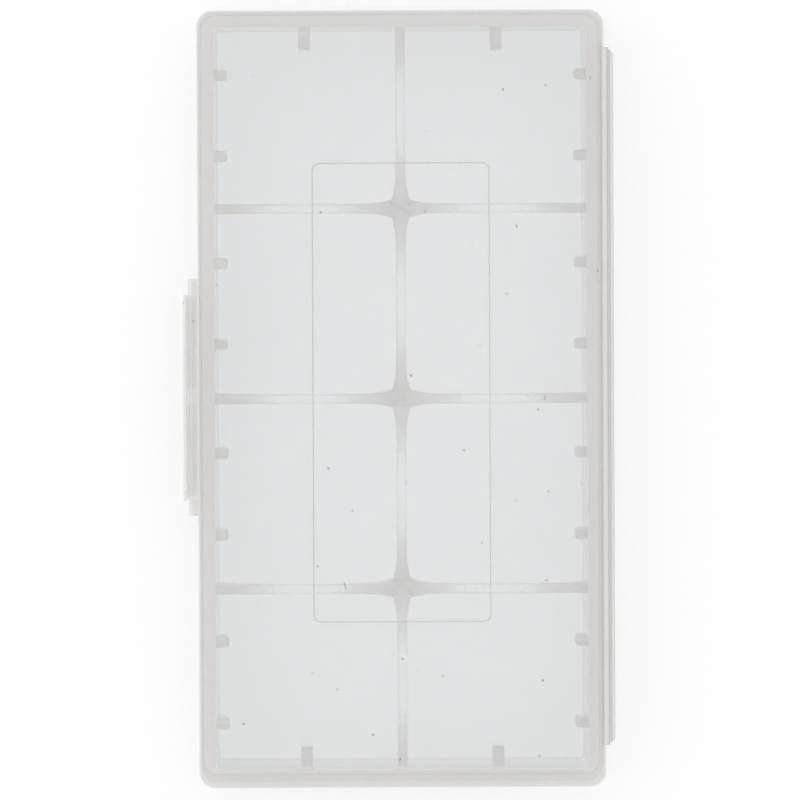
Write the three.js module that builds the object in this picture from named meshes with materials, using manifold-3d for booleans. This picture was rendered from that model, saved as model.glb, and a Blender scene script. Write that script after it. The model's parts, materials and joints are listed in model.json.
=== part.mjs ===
// A flat clamshell case for round cells, moulded in translucent polypropylene: a plain lower half,
// an upper half with cradle ribs, a film hinge along one long side and a snap latch along the other.
// Millimetres, +Z up. The case is closed and lies on its lower half, with the hinge towards +X.

import * as THREE from 'three';
import { mergeVertices } from 'three/addons/utils/BufferGeometryUtils.js';
import Module from 'manifold-3d';

const wasm = await Module();
wasm.setup();

// The cells that the case is made for, and the room that they get
const cellDiameter = 18.1;
const cellLength = 70;
const cellSidePlay = 0.1;
const cellEndPlay = 0.3;
const cellHeadroom = 0.5;

// Shells
const wallThickness = 1.65;
const plateThickness = 1.3;
const outerCornerRadius = 1.6;
const innerCornerRadius = 0.4;
const outerEdgeRadius = 0.2;
const openedClearance = 0.4; // under the upper half when it lies opened flat

// Cradle ribs
const ribThickness = 1.0;
const cellRowGap = 0.95; // between short cells that lie across the case
const crossingWidth = 1.8;
const flareRun = 2.7;
const cradleFloor = 0.4; // what is left of a rib under the cell
const cradleClearance = 0.15;

// Side ribs on the long walls, in pairs about the middle of each bay
const sideRibWidth = 1.1;
const sideRibReach = 1.35;
const sideRibTipRadius = 0.35;
const sideRibSpacing = 8.15;

// End stops on the short walls
const endStopWidth = 1.15;
const endStopReach = 2.1;
const endStopRimGap = 1.4;
const endStopLead = 1.6; // height of the slope that guides a cell's end in
const footReach = 3.5;
const footTip = 0.12;
const footRise = 1.0;

// Sunk label panel, left bare
const labelWidth = 17.8;
const labelLength = 46;
const labelCornerRadius = 0.7;
const labelDepth = 0.2;
const labelShift = 0.65; // along the case from its middle

// Film hinge
const hingeLength = 70.5;
const hingeEndRun = 0.8;
const leafReach = 0.66;
const leafThickness = 0.85;
const leafRimGap = 0.15;
const filmRadius = 0.42;
const filmThickness = 0.34;

// Snap latch
const ledgeLength = 24;
const ledgeReach = 1.15;
const ledgeThickness = 2.4;
const ledgeDrop = 1.0; // below the rim
const ledgeChamfer = 0.4;
const ledgeRelease = 0.6; // how far the underside rises to its edge, so that a pull frees the hook
const flapLength = 20.7;
const flapThickness = 0.38;
const flapGap = 0.1;
const flapTail = 1.75;
const flapCornerRadius = 1.2;
const webRise = 0.3; // above the rim
const webThickness = 0.45;
const hookGap = 0.25;
const hookEngagement = 0.76;
const hookTip = 0.95;
const hookHeight = 1.4;
const hookInset = 0.3;
const hookSlot = 1.8;

// Facets
const cradleFacets = 64;
const cornerFacets = 6;
const edgeFacets = 3;
const mergeDistance = 1e-4;
const cutMargin = 2; // how far a cutting body runs past what it cuts

// Sizes that follow
const bayWidth = cellDiameter + cellSidePlay;
const innerWidth = 2 * bayWidth + ribThickness;
const innerLength = cellLength + cellEndPlay + 2 * endStopReach;
const innerHeight = cradleFloor + cellDiameter + cellHeadroom;
const outerWidth = innerWidth + 2 * wallThickness;
const outerLength = innerLength + 2 * wallThickness;
const outerHeight = innerHeight + 2 * plateThickness;
const rim = (outerHeight + openedClearance) / 2;
const ceiling = outerHeight - plateThickness;

const columnX = (ribThickness + bayWidth) / 2;
const cradleRadius = cellDiameter / 2 + cradleClearance;
const cradleZ = ceiling - cradleFloor - cradleRadius;
const ribLow = cradleZ + Math.sqrt(cradleRadius ** 2 - (bayWidth / 2) ** 2);
const crossRibPitch = cellDiameter + cellRowGap;
const crossRibs = [-crossRibPitch, 0, crossRibPitch];
const innerBayY = crossRibPitch / 2;
const outerBayY = (crossRibPitch + ribThickness / 2 + innerLength / 2) / 2;
const bays = [-outerBayY, -innerBayY, innerBayY, outerBayY];

const wallX = outerWidth / 2;
const filmReach = filmRadius + filmThickness / 2;
const hingeReach = leafReach + filmReach;
const latchReach = ledgeReach + flapGap + flapThickness;
const ledgeTop = rim - ledgeDrop;
const ledgeLow = ledgeTop - ledgeThickness;
const webTop = rim + webRise + webThickness;
const releaseSlope = ledgeRelease / ledgeReach;
const hookTop = ledgeLow + releaseSlope * (ledgeReach - hookEngagement) - hookGap;
const flapLow = hookTop - hookHeight - flapTail;

// A closed three.js geometry as a solid that can be cut and joined
function solidOf(geometry) {
  geometry.deleteAttribute('normal');
  geometry.deleteAttribute('uv');
  const merged = mergeVertices(geometry, mergeDistance);
  return new wasm.Manifold(new wasm.Mesh({
    numProp: 3,
    vertProperties: new Float32Array(merged.attributes.position.array),
    triVerts: new Uint32Array(merged.index.array),
  }));
}

// A solid as a flat-shaded three.js geometry
function geometryOf(solid) {
  const made = solid.getMesh();
  const geometry = new THREE.BufferGeometry();
  geometry.setAttribute('position', new THREE.BufferAttribute(made.vertProperties, 3));
  geometry.setIndex(new THREE.BufferAttribute(made.triVerts, 1));
  const faceted = geometry.toNonIndexed();
  faceted.computeVertexNormals();
  return faceted;
}

// An outline in X and Y, raised from one height to another
function raised(outline, low, high) {
  const geometry = new THREE.ExtrudeGeometry(outline, {
    depth: high - low,
    bevelEnabled: false,
    curveSegments: cornerFacets,
  });
  return geometry.translate(0, 0, low);
}

// An outline in X and Z, drawn out along Y about the middle of the case
function drawnAlongY(outline, length) {
  const geometry = new THREE.ExtrudeGeometry(outline, {
    depth: length,
    bevelEnabled: false,
    curveSegments: 2 * cornerFacets,
  });
  const [x, y, z] = [new THREE.Vector3(1, 0, 0), new THREE.Vector3(0, 0, 1), new THREE.Vector3(0, -1, 0)];
  return geometry.applyMatrix4(new THREE.Matrix4().makeBasis(x, y, z)).translate(0, length / 2, 0);
}

// An outline in Y and Z, drawn out along X from one place to another
function drawnAlongX(outline, from, to) {
  const geometry = new THREE.ExtrudeGeometry(outline, {
    depth: to - from,
    bevelEnabled: false,
    curveSegments: cornerFacets,
  });
  const [x, y, z] = [new THREE.Vector3(0, 1, 0), new THREE.Vector3(0, 0, 1), new THREE.Vector3(1, 0, 0)];
  return geometry.applyMatrix4(new THREE.Matrix4().makeBasis(x, y, z)).translate(from, 0, 0);
}

function polygon(points) {
  return new THREE.Shape(points.map(([x, y]) => new THREE.Vector2(x, y)));
}

function roundedRectangle(width, length, radius) {
  const [x, y] = [width / 2, length / 2];
  const outline = new THREE.Shape();
  outline.moveTo(radius - x, -y);
  outline.lineTo(x - radius, -y);
  outline.absarc(x - radius, radius - y, radius, -Math.PI / 2, 0);
  outline.lineTo(x, y - radius);
  outline.absarc(x - radius, y - radius, radius, 0, Math.PI / 2);
  outline.lineTo(radius - x, y);
  outline.absarc(radius - x, y - radius, radius, Math.PI / 2, Math.PI);
  outline.lineTo(-x, radius - y);
  outline.absarc(radius - x, radius - y, radius, Math.PI, 1.5 * Math.PI);
  return outline;
}

// A cell-sized cut that lies along the case, over one column of bays
function lengthwiseCradle(x) {
  const length = outerLength + cutMargin;
  const geometry = new THREE.CylinderGeometry(cradleRadius, cradleRadius, length, cradleFacets);
  return solidOf(geometry.translate(x, 0, cradleZ));
}

// A cell-sized cut that lies across the case, over one row of bays
function crosswiseCradle(y) {
  const length = outerWidth + cutMargin;
  const geometry = new THREE.CylinderGeometry(cradleRadius, cradleRadius, length, cradleFacets);
  return solidOf(geometry.rotateZ(Math.PI / 2).translate(0, y, cradleZ));
}

// One half of the case: a plate with rounded outer edges and four walls up to the rim
function halfShell(plateZ) {
  const inward = Math.sign(rim - plateZ);
  const edge = outerEdgeRadius;
  const ends = [plateZ, rim + 2 * edge * inward].sort((a, b) => a - b);
  const core = roundedRectangle(outerWidth - 2 * edge, outerLength - 2 * edge, outerCornerRadius - edge);
  const block = new THREE.ExtrudeGeometry(core, {
    depth: ends[1] - ends[0] - 2 * edge,
    bevelThickness: edge,
    bevelSize: edge,
    bevelSegments: edgeFacets,
    curveSegments: cornerFacets,
  });
  const outer = solidOf(block.translate(0, 0, ends[0] + edge));
  const pastRim = new THREE.BoxGeometry(outerWidth + cutMargin, outerLength + cutMargin, cutMargin);
  const aboveRim = solidOf(pastRim.translate(0, 0, rim + inward * cutMargin / 2));
  const cavityEnds = [plateZ + inward * plateThickness, rim + inward * cutMargin].sort((a, b) => a - b);
  const cavity = solidOf(raised(roundedRectangle(innerWidth, innerLength, innerCornerRadius), ...cavityEnds));
  return outer.subtract(aboveRim).subtract(cavity);
}

function lowerShell() {
  return geometryOf(halfShell(0));
}

// The upper half has a sunk panel in its outer face
function upperShell() {
  const panel = raised(
    roundedRectangle(labelWidth, labelLength, labelCornerRadius),
    outerHeight - labelDepth,
    outerHeight + cutMargin,
  );
  return geometryOf(halfShell(outerHeight).subtract(solidOf(panel.translate(0, labelShift, 0))));
}

// The lengthwise rib, flared where the cross ribs meet it and scooped over every bay
function centreRib() {
  const thin = ribThickness / 2;
  const wide = crossingWidth / 2;
  const end = innerLength / 2;
  const outline = new THREE.Shape();
  outline.moveTo(thin, -end);
  for (const y of crossRibs) {
    outline.lineTo(thin, y - wide - flareRun);
    outline.quadraticCurveTo(thin, y - wide - flareRun / 2, wide, y - wide);
    outline.lineTo(wide, y + wide);
    outline.quadraticCurveTo(thin, y + wide + flareRun / 2, thin, y + wide + flareRun);
  }
  outline.lineTo(thin, end);
  outline.lineTo(-thin, end);
  for (const y of [...crossRibs].reverse()) {
    outline.lineTo(-thin, y + wide + flareRun);
    outline.quadraticCurveTo(-thin, y + wide + flareRun / 2, -wide, y + wide);
    outline.lineTo(-wide, y - wide);
    outline.quadraticCurveTo(-thin, y - wide - flareRun / 2, -thin, y - wide - flareRun);
  }
  outline.lineTo(-thin, -end);
  let rib = solidOf(raised(outline, ribLow, ceiling));
  for (const y of bays) {
    rib = rib.subtract(crosswiseCradle(y));
  }
  for (const side of [-1, 1]) {
    rib = rib.subtract(lengthwiseCradle(side * columnX));
  }
  return geometryOf(rib);
}

// Half a cross rib, from the lengthwise rib to one long wall, scooped for the cell that it cradles
function crossRib(side) {
  const thin = ribThickness / 2;
  const wide = crossingWidth / 2;
  const flareEnd = wide + flareRun;
  const middle = wide + flareRun / 2;
  const outline = new THREE.Shape();
  outline.moveTo(side * wide, -wide);
  outline.quadraticCurveTo(side * middle, -thin, side * flareEnd, -thin);
  outline.lineTo(side * innerWidth / 2, -thin);
  outline.lineTo(side * innerWidth / 2, thin);
  outline.lineTo(side * flareEnd, thin);
  outline.quadraticCurveTo(side * middle, thin, side * wide, wide);
  const rib = solidOf(raised(outline, ribLow, ceiling));
  return geometryOf(rib.subtract(lengthwiseCradle(side * columnX)));
}

// A short rib on a long wall, with a rounded tip, cut back to the cell
function sideRib(side) {
  const half = sideRibWidth / 2;
  const wall = innerWidth / 2;
  const tip = wall - sideRibReach;
  const radius = sideRibTipRadius;
  const outline = new THREE.Shape();
  outline.moveTo(side * wall, -half);
  outline.lineTo(side * (tip + radius), -half);
  outline.quadraticCurveTo(side * tip, -half, side * tip, radius - half);
  outline.lineTo(side * tip, half - radius);
  outline.quadraticCurveTo(side * tip, half, side * (tip + radius), half);
  outline.lineTo(side * wall, half);
  const rib = solidOf(raised(outline, ribLow, ceiling));
  return geometryOf(rib.subtract(lengthwiseCradle(side * columnX)));
}

// A stop for the end of a cell on a short wall, with a low foot that runs out along the plate
function endStop(end) {
  const wall = innerLength / 2;
  const low = rim + endStopRimGap;
  const face = wall - endStopReach;
  const outline = new THREE.Shape();
  outline.moveTo(end * wall, ceiling);
  outline.lineTo(end * (wall - footReach), ceiling);
  outline.lineTo(end * (wall - footReach), ceiling - footTip);
  outline.quadraticCurveTo(end * face, ceiling - footTip, end * face, ceiling - footRise);
  outline.lineTo(end * face, low + endStopLead);
  outline.lineTo(end * wall, low);
  return geometryOf(solidOf(drawnAlongX(outline, -endStopWidth / 2, endStopWidth / 2)));
}

// The hinge strip seen from above, with ends that round off towards its free edge
function hingeOutline() {
  const end = hingeLength / 2;
  const edge = wallX + hingeReach;
  const past = edge + cutMargin;
  const outline = new THREE.Shape();
  outline.moveTo(wallX, -end);
  outline.quadraticCurveTo(edge, -end, edge, hingeEndRun - end);
  outline.lineTo(past, hingeEndRun - end);
  outline.lineTo(past, end - hingeEndRun);
  outline.lineTo(edge, end - hingeEndRun);
  outline.quadraticCurveTo(edge, end, wallX, end);
  return solidOf(raised(outline, rim - cutMargin, rim + cutMargin));
}

// The thick strip that carries the film, under the rim of one half or above the other's
function hingeLeaf(side) {
  const near = rim + side * leafRimGap;
  const far = near + side * leafThickness;
  const outline = polygon([
    [wallX, near],
    [wallX + leafReach, near],
    [wallX + leafReach, far],
    [wallX, far + side * leafReach],
  ]);
  return geometryOf(solidOf(drawnAlongY(outline, hingeLength)).intersect(hingeOutline()));
}

// The film, folded round from one leaf to the other
function hingeFilm() {
  const outline = new THREE.Shape();
  const [outer, inner] = [filmReach, filmReach - filmThickness];
  outline.absarc(wallX + leafReach, rim, outer, -Math.PI / 2, Math.PI / 2, false);
  outline.absarc(wallX + leafReach, rim, inner, Math.PI / 2, -Math.PI / 2, true);
  return geometryOf(solidOf(drawnAlongY(outline, hingeLength)).intersect(hingeOutline()));
}

// The catch on the lower half, with a sloped top edge that the hook rides over
function catchLedge() {
  const edge = -wallX - ledgeReach;
  const outline = polygon([
    [-wallX, ledgeLow],
    [edge, ledgeLow + ledgeRelease],
    [edge, ledgeTop - ledgeChamfer],
    [edge + ledgeChamfer, ledgeTop],
    [-wallX, ledgeTop],
  ]);
  return geometryOf(solidOf(drawnAlongY(outline, ledgeLength)));
}

// The latch flap: a web from the upper wall, a thin plate that hangs over the catch and a split hook
function latchFlap() {
  const outerFace = -wallX - latchReach;
  const innerFace = outerFace + flapThickness;
  const half = flapLength / 2;
  const radius = flapCornerRadius;

  const front = new THREE.Shape();
  front.moveTo(half, webTop);
  front.lineTo(-half, webTop);
  front.lineTo(-half, flapLow + radius);
  front.absarc(radius - half, flapLow + radius, radius, Math.PI, 1.5 * Math.PI);
  front.lineTo(half - radius, flapLow);
  front.absarc(half - radius, flapLow + radius, radius, -Math.PI / 2, 0);
  const plate = solidOf(drawnAlongX(front, outerFace, innerFace));

  const web = solidOf(drawnAlongY(polygon([
    [outerFace, webTop - webThickness],
    [-wallX, webTop - webThickness],
    [-wallX, webTop],
    [outerFace, webTop],
  ]), flapLength));

  const hookEdge = -wallX - ledgeReach + hookEngagement;
  const hookRoot = hookTop + releaseSlope * (hookEdge - innerFace);
  const hookLength = (flapLength - hookSlot) / 2 - hookInset;
  const hookOutline = polygon([
    [outerFace, hookTop - hookHeight],
    [innerFace, hookTop - hookHeight],
    [hookEdge, hookTop - hookTip],
    [hookEdge, hookTop],
    [innerFace, hookRoot],
    [outerFace, hookRoot],
  ]);
  let flap = plate.add(web);
  for (const side of [-1, 1]) {
    const hook = drawnAlongY(hookOutline, hookLength).translate(0, side * (hookSlot + hookLength) / 2, 0);
    flap = flap.add(solidOf(hook));
  }
  return geometryOf(flap);
}

const polypropylene = { color: 0xdededb, roughness: 0.42, metalness: 0, transparent: true, opacity: 0.55 };

function piece(name, geometry) {
  const mesh = new THREE.Mesh(geometry, new THREE.MeshStandardMaterial(polypropylene));
  mesh.name = name;
  return mesh;
}

const lowerHalf = new THREE.Group();
lowerHalf.add(piece('lower_shell', lowerShell()));
lowerHalf.add(piece('catch_ledge', catchLedge()));
lowerHalf.add(piece('lower_hinge_leaf', hingeLeaf(-1)));
lowerHalf.add(piece('hinge_film', hingeFilm()));

const upperHalf = new THREE.Group();
upperHalf.add(piece('upper_shell', upperShell()));
upperHalf.add(piece('upper_hinge_leaf', hingeLeaf(1)));
upperHalf.add(piece('centre_rib', centreRib()));

const sides = [['left', -1], ['right', 1]];
for (const [sideName, side] of sides) {
  crossRibs.forEach((y, number) => {
    const rib = piece(`cross_rib_${sideName}_${number + 1}`, crossRib(side));
    rib.position.y = y;
    upperHalf.add(rib);
  });
  bays.forEach((y, bay) => {
    for (const half of [-1, 1]) {
      const number = 2 * bay + (half + 3) / 2;
      const rib = piece(`side_rib_${sideName}_${number}`, sideRib(side));
      rib.position.y = y + half * sideRibSpacing / 2;
      upperHalf.add(rib);
    }
  });
  for (const [endName, end] of [['front', -1], ['rear', 1]]) {
    const stop = piece(`end_stop_${endName}_${sideName}`, endStop(end));
    stop.position.x = side * columnX;
    upperHalf.add(stop);
  }
}

const latch = new THREE.Group();
latch.add(piece('latch_flap', latchFlap()));
upperHalf.add(latch);

// The origin is under the middle of the whole outline, hinge and latch included
const batteryCase = new THREE.Group();
batteryCase.name = 'battery_case';
batteryCase.position.x = (latchReach - hingeReach) / 2;
batteryCase.add(lowerHalf, upperHalf);

export default batteryCase;
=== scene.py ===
"""Dresses a translucent clamshell battery case for the render, laid out as a Blender add-on."""

import json
import math
from types import SimpleNamespace

import bmesh
import bpy
from mathutils import Matrix, Vector


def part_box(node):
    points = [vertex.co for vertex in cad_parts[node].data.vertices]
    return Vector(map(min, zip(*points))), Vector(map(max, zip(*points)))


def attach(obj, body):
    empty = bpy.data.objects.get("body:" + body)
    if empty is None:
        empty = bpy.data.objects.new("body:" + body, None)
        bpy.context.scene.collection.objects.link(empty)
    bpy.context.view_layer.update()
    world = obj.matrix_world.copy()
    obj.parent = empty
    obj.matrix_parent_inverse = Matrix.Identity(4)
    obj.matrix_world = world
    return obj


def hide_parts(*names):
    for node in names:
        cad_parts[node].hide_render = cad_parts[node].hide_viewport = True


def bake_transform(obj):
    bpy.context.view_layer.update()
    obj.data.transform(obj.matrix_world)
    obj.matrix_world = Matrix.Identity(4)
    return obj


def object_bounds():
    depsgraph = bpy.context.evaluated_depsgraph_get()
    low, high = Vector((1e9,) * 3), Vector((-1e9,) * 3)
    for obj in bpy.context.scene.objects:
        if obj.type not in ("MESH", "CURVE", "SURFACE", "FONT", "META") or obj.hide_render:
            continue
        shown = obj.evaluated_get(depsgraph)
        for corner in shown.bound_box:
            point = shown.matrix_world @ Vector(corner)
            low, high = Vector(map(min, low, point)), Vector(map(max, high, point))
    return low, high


bl_info = {
    "name": "Battery Case",
    "version": (1, 0, 0),
    "blender": (4, 5, 0),
    "location": "View3D > Sidebar > Battery Case",
    "description": "Models and finishes a translucent clamshell battery case around its frame",
    "category": "Object",
}

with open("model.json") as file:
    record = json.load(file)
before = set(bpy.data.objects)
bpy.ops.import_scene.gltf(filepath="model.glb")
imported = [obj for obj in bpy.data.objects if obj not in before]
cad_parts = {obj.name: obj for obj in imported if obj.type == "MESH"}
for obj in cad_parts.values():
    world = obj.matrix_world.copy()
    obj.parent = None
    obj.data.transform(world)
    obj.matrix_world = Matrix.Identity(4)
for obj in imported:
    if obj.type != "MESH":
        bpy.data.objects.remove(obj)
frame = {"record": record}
CAD_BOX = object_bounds()

MILLIMETRE = 0.001
NEAR = 1e-4  # millimetres, for points that count as one
SHARP = math.radians(28)
FACING = 0.9  # least share of a face's direction along an axis that it faces
STEEP = 0.1  # least share of a sloped face's direction along that axis
RESIN = "moulded_polypropylene"
THIN_RESIN = "thin_polypropylene"
# Painted shade: one resin for the panel's sloped step, the flap's tail and the hinge film, whose colour and
# haze paint the shade there
PAINTED_SHADE_RESIN = "painted_shade_polypropylene"
PAINTED_SHADE_SLOT = 1  # the material slot of faces that get painted shade
CHAMFER, FLAP_EDGE, SMALL_ROUND, FLAP_CORNER, CORNER = 1, 2, 4, 6, 8  # steps across an edge
FILM_CUTS, FILM_STEPS = 70, 12  # along the hinge film and round its fold
WHITE = (1.0, 1.0, 1.0, 1.0)
X, Y, Z = range(3)


def node_box(node):
    """A frame node's lowest and highest corner, in millimetres."""
    low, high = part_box(node)
    return SimpleNamespace(low=low / MILLIMETRE, high=high / MILLIMETRE)


SIDES = ("left", "right")
LOWER = node_box("lower_shell")
UPPER = node_box("upper_shell")
CENTRE_RIB = node_box("centre_rib")
CROSS_RIBS = [node_box(f"cross_rib_right_{number}") for number in (1, 2, 3)]
SIDE_RIBS = [node_box(f"side_rib_{side}_{number}") for side in SIDES for number in range(1, 9)]
END_STOPS = [node_box(f"end_stop_{end}_{side}") for end in ("front", "rear") for side in SIDES]
UPPER_LEAF = node_box("upper_hinge_leaf")
LOWER_LEAF = node_box("lower_hinge_leaf")
FILM = node_box("hinge_film")
LEDGE = node_box("catch_ledge")
FLAP = node_box("latch_flap")

MIDDLE_X = (UPPER.low.x + UPPER.high.x) / 2
RIM = UPPER.low.z
CEILING = CENTRE_RIB.high.z
FLOOR = LOWER.low.z + UPPER.high.z - CEILING
INNER_X = CROSS_RIBS[0].high.x - MIDDLE_X
INNER_Y = CENTRE_RIB.high.y
CROSS_Y = [(rib.low.y + rib.high.y) / 2 for rib in CROSS_RIBS]


class CaseSizes(bpy.types.PropertyGroup):
    """Sizes of the moulding that the frame's boxes don't give."""

    rib_thickness: bpy.props.FloatProperty(
        name="Rib", description="Thickness of the cradle ribs", default=0.0010, unit="LENGTH"
    )
    crossing_width: bpy.props.FloatProperty(
        name="Crossing", description="Width of the ribs where they cross", default=0.0018, unit="LENGTH"
    )
    flare_run: bpy.props.FloatProperty(
        name="Flare", description="Length over which a rib flares", default=0.0027, unit="LENGTH"
    )
    crown: bpy.props.FloatProperty(
        name="Crown", description="Height of the point on each crossing", default=0.0004, unit="LENGTH"
    )
    cradle_radius: bpy.props.FloatProperty(
        name="Cradle", description="Radius of the scoops in the ribs", default=0.0092, unit="LENGTH"
    )
    cradle_floor: bpy.props.FloatProperty(
        name="Cradle floor", description="What is left of a rib under a cell", default=0.0004, unit="LENGTH"
    )
    stop_reach: bpy.props.FloatProperty(
        name="End stop", description="How far an end stop stands out", default=0.0021, unit="LENGTH"
    )
    stop_lead: bpy.props.FloatProperty(
        name="Stop lead", description="Height of the slope under an end stop", default=0.0016, unit="LENGTH"
    )
    foot_rise: bpy.props.FloatProperty(
        name="Foot rise", description="Height of a stop's foot at the stop", default=0.0010, unit="LENGTH"
    )
    foot_tip: bpy.props.FloatProperty(
        name="Foot tip", description="Height of a stop's foot at its end", default=0.00012, unit="LENGTH"
    )
    corner_radius: bpy.props.FloatProperty(
        name="Corner", description="Radius of the outer corners", default=0.0016, unit="LENGTH"
    )
    inner_corner_radius: bpy.props.FloatProperty(
        name="Inner corner", description="Radius of the inner corners", default=0.0004, unit="LENGTH"
    )
    edge_radius: bpy.props.FloatProperty(
        name="Edge", description="Radius of the edges round the two plates", default=0.0002, unit="LENGTH"
    )
    tip_radius: bpy.props.FloatProperty(
        name="Side rib tip", description="Radius at the side ribs' tips", default=0.00035, unit="LENGTH"
    )
    chamfer: bpy.props.FloatProperty(
        name="Chamfer", description="Width of the chamfer on the other edges", default=0.00015, unit="LENGTH"
    )
    parting_gap: bpy.props.FloatProperty(
        name="Parting gap", description="Gap between the closed halves", default=0.00003, unit="LENGTH"
    )
    label_width: bpy.props.FloatProperty(
        name="Label width", description="Width of the sunk bare panel", default=0.0178, unit="LENGTH"
    )
    label_length: bpy.props.FloatProperty(
        name="Label length", description="Length of the sunk bare panel", default=0.0460, unit="LENGTH"
    )
    label_shift: bpy.props.FloatProperty(
        name="Label shift", description="Place of the panel along the case", default=0.00065, unit="LENGTH"
    )
    label_depth: bpy.props.FloatProperty(
        name="Label depth", description="Depth of the sunk bare panel", default=0.0002, unit="LENGTH"
    )
    label_slope: bpy.props.FloatProperty(
        name="Label slope", description="Width of the panel's sloped sides", default=0.00012, unit="LENGTH"
    )
    label_corner: bpy.props.FloatProperty(
        name="Label corner", description="Corner radius of the panel", default=0.0007, unit="LENGTH"
    )
    ledge_chamfer: bpy.props.FloatProperty(
        name="Catch slope", description="Slope at the top edge of the catch", default=0.0004, unit="LENGTH"
    )
    ledge_release: bpy.props.FloatProperty(
        name="Catch release", description="Rise of the catch's underside", default=0.0006, unit="LENGTH"
    )
    film_thickness: bpy.props.FloatProperty(
        name="Film", description="Thickness of the hinge film", default=0.00034, unit="LENGTH"
    )
    hinge_end_run: bpy.props.FloatProperty(
        name="Hinge end", description="Length of the hinge's rounded ends", default=0.0008, unit="LENGTH"
    )
    flap_thickness: bpy.props.FloatProperty(
        name="Flap", description="Thickness of the latch flap", default=0.00038, unit="LENGTH"
    )
    flap_corner: bpy.props.FloatProperty(
        name="Flap corner", description="Radius of the flap's free corners", default=0.0012, unit="LENGTH"
    )
    flap_tail: bpy.props.FloatProperty(
        name="Flap tail", description="Length of the flap below its hook", default=0.00175, unit="LENGTH"
    )
    flap_lip: bpy.props.FloatProperty(
        name="Flap lip", description="Thickness of the flap at its free edge", default=0.0001, unit="LENGTH"
    )
    flap_fillet: bpy.props.FloatProperty(
        name="Flap fillet", description="Radius of the flap's other edges", default=0.00004, unit="LENGTH"
    )
    web_thickness: bpy.props.FloatProperty(
        name="Web", description="Thickness of the web that carries the flap", default=0.00045, unit="LENGTH"
    )
    hook_height: bpy.props.FloatProperty(
        name="Hook", description="Height of the hook at the flap", default=0.00185, unit="LENGTH"
    )
    hook_slope: bpy.props.FloatProperty(
        name="Hook slope", description="Fall of the hook's upper side", default=0.00045, unit="LENGTH"
    )
    hook_tip: bpy.props.FloatProperty(
        name="Hook tip", description="Height of the hook at its free edge", default=0.00095, unit="LENGTH"
    )
    hook_reach: bpy.props.FloatProperty(
        name="Hook reach", description="How far the hook stands out", default=0.00080, unit="LENGTH"
    )
    hook_inset: bpy.props.FloatProperty(
        name="Hook inset", description="From the flap's ends to the hook", default=0.0003, unit="LENGTH"
    )
    hook_slot: bpy.props.FloatProperty(
        name="Hook slot", description="Width of the slot in the hook", default=0.0018, unit="LENGTH"
    )


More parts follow.
